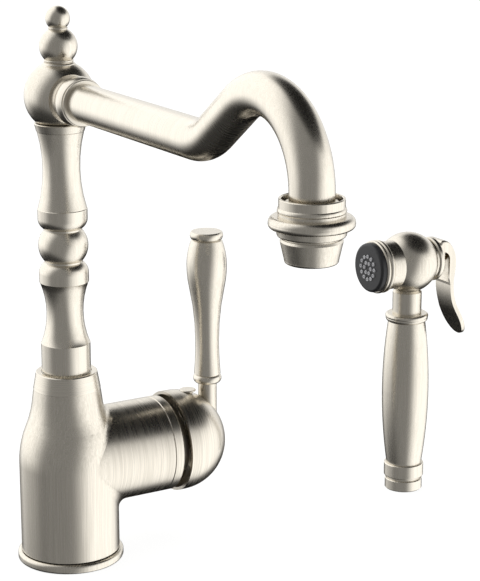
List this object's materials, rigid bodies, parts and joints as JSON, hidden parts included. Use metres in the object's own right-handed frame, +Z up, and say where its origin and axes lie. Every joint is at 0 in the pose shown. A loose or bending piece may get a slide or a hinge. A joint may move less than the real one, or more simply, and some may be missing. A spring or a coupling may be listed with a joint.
{
  "type": "side spray kitchen faucet",
  "caption": "Single-lever kitchen faucet with a turned column, swivel spout on a ball hub, and a separate trigger hand spray standing beside it.",
  "frame": {"origin": "centre of the base's underside, on the deck", "axes": "+Z up along the column, spout along -Y, lever branch and hand spray towards +X"},
  "size_m": [0.2781, 0.2797, 0.2918],
  "materials": {
    "nickel": "satin brushed nickel plate over brass",
    "grip_nickel": "satin nickel-look shell of the spray's grip",
    "brass": "plain machined brass",
    "seal_rubber": "black rubber",
    "cartridge_plastic": "moulded acetal",
    "ceramic": "polished ceramic",
    "spring_steel": "bare stainless wire",
    "face_plastic": "charcoal moulded plastic",
    "nozzle_rubber": "light grey silicone",
    "screen_mesh": "woven stainless screen"
  },
  "bodies": {
    "faucet_body": {"body_casting": "nickel", "base_ring": "nickel", "base_gasket": "seal_rubber", "bonnet_ring": "nickel", "cartridge_nut": "brass", "cartridge_housing": "cartridge_plastic", "cartridge_seals": "seal_rubber", "fixed_disc": "ceramic", "swivel_glide_ring": "cartridge_plastic", "column_retaining_screw": "brass", "diverter_sleeve": "cartridge_plastic", "diverter_spring": "spring_steel"},
    "diverter": {"diverter_plunger": "cartridge_plastic"},
    "spout": {"column": "nickel", "column_o_rings": "seal_rubber", "hub_ball": "nickel", "finial": "nickel", "socket_collar": "nickel", "spout_tube": "nickel", "tube_end_ring": "nickel", "aerator_collar": "nickel", "aerator_tip": "nickel", "aerator_washer": "seal_rubber", "aerator_insert": "cartridge_plastic", "aerator_screen": "screen_mesh"},
    "cartridge_carrier": {"cartridge_carrier": "cartridge_plastic", "pivot_pin": "spring_steel"},
    "moving_disc": {"moving_disc": "ceramic"},
    "handle": {"cartridge_spindle": "spring_steel", "dome_cap": "nickel", "lever_stem": "nickel", "lever_ferrule": "nickel", "lever_grip": "nickel", "lever_knob": "nickel", "indicator_button": "nickel", "handle_set_screw": "spring_steel"},
    "hand_spray": {"spray_hose_nut": "nickel", "spray_end_collar": "nickel", "spray_grip": "grip_nickel", "spray_water_tube": "cartridge_plastic", "spray_neck": "nickel", "spray_head": "nickel", "spray_back_ring": "nickel", "spray_hinge_pin": "spring_steel", "spray_face_ring": "nickel", "spray_face": "face_plastic", "spray_nozzles_outer": "nozzle_rubber", "spray_nozzles_inner": "nozzle_rubber", "spray_spring_plate": "cartridge_plastic", "valve_spring": "spring_steel"},
    "spray_trigger": {"spray_trigger": "nickel"},
    "spray_valve": {"valve_stem": "brass", "valve_washer": "seal_rubber"}
  },
  "joints": [
    {"name": "spout_swivel", "type": "hinge", "parent": "faucet_body", "child": "spout", "pos_m": [0, 0, 0.1], "axis": [0, 0, 1], "continuous": true},
    {"name": "temperature_turn", "type": "hinge", "parent": "faucet_body", "child": "cartridge_carrier", "pos_m": [0.046, 0, 0.0533], "axis": [1, 0, 0], "range_deg": [-45, 45]},
    {"name": "lever_tilt", "type": "hinge", "parent": "cartridge_carrier", "child": "handle", "pos_m": [0.046, 0, 0.0533], "axis": [0, 1, 0], "range_deg": [0, 20]},
    {"name": "disc_slide", "type": "slide", "parent": "cartridge_carrier", "child": "moving_disc", "axis": [0, 0, 1], "range_m": [0, 0.003]},
    {"name": "diverter_shift", "type": "slide", "parent": "faucet_body", "child": "diverter", "axis": [0, 0, 1], "range_m": [-0.003, 0], "stiffness_N_per_m": 300, "springref_m": 0.004, "deforming": ["diverter_spring"]},
    {"name": "spray_lift", "type": "slide", "parent": "faucet_body", "child": "hand_spray", "axis": [0, 0, 1], "range_m": [0, 0.2]},
    {"name": "trigger_squeeze", "type": "hinge", "parent": "hand_spray", "child": "spray_trigger", "pos_m": [0.231, -0.0067, 0.1418], "axis": [0, 1, 0], "range_deg": [0, 12], "stiffness_Nm_per_rad": 0.6, "springref_deg": -8.59},
    {"name": "valve_slide", "type": "slide", "parent": "hand_spray", "child": "spray_valve", "axis": [-1, 0, 0], "range_m": [0, 0.0015], "deforming": ["valve_spring"]}
  ],
  "couplings": [
    {"joint": "disc_slide", "follows": "lever_tilt", "m_per_rad": 0.008},
    {"joint": "valve_slide", "follows": "trigger_squeeze", "m_per_rad": 0.007}
  ]
}
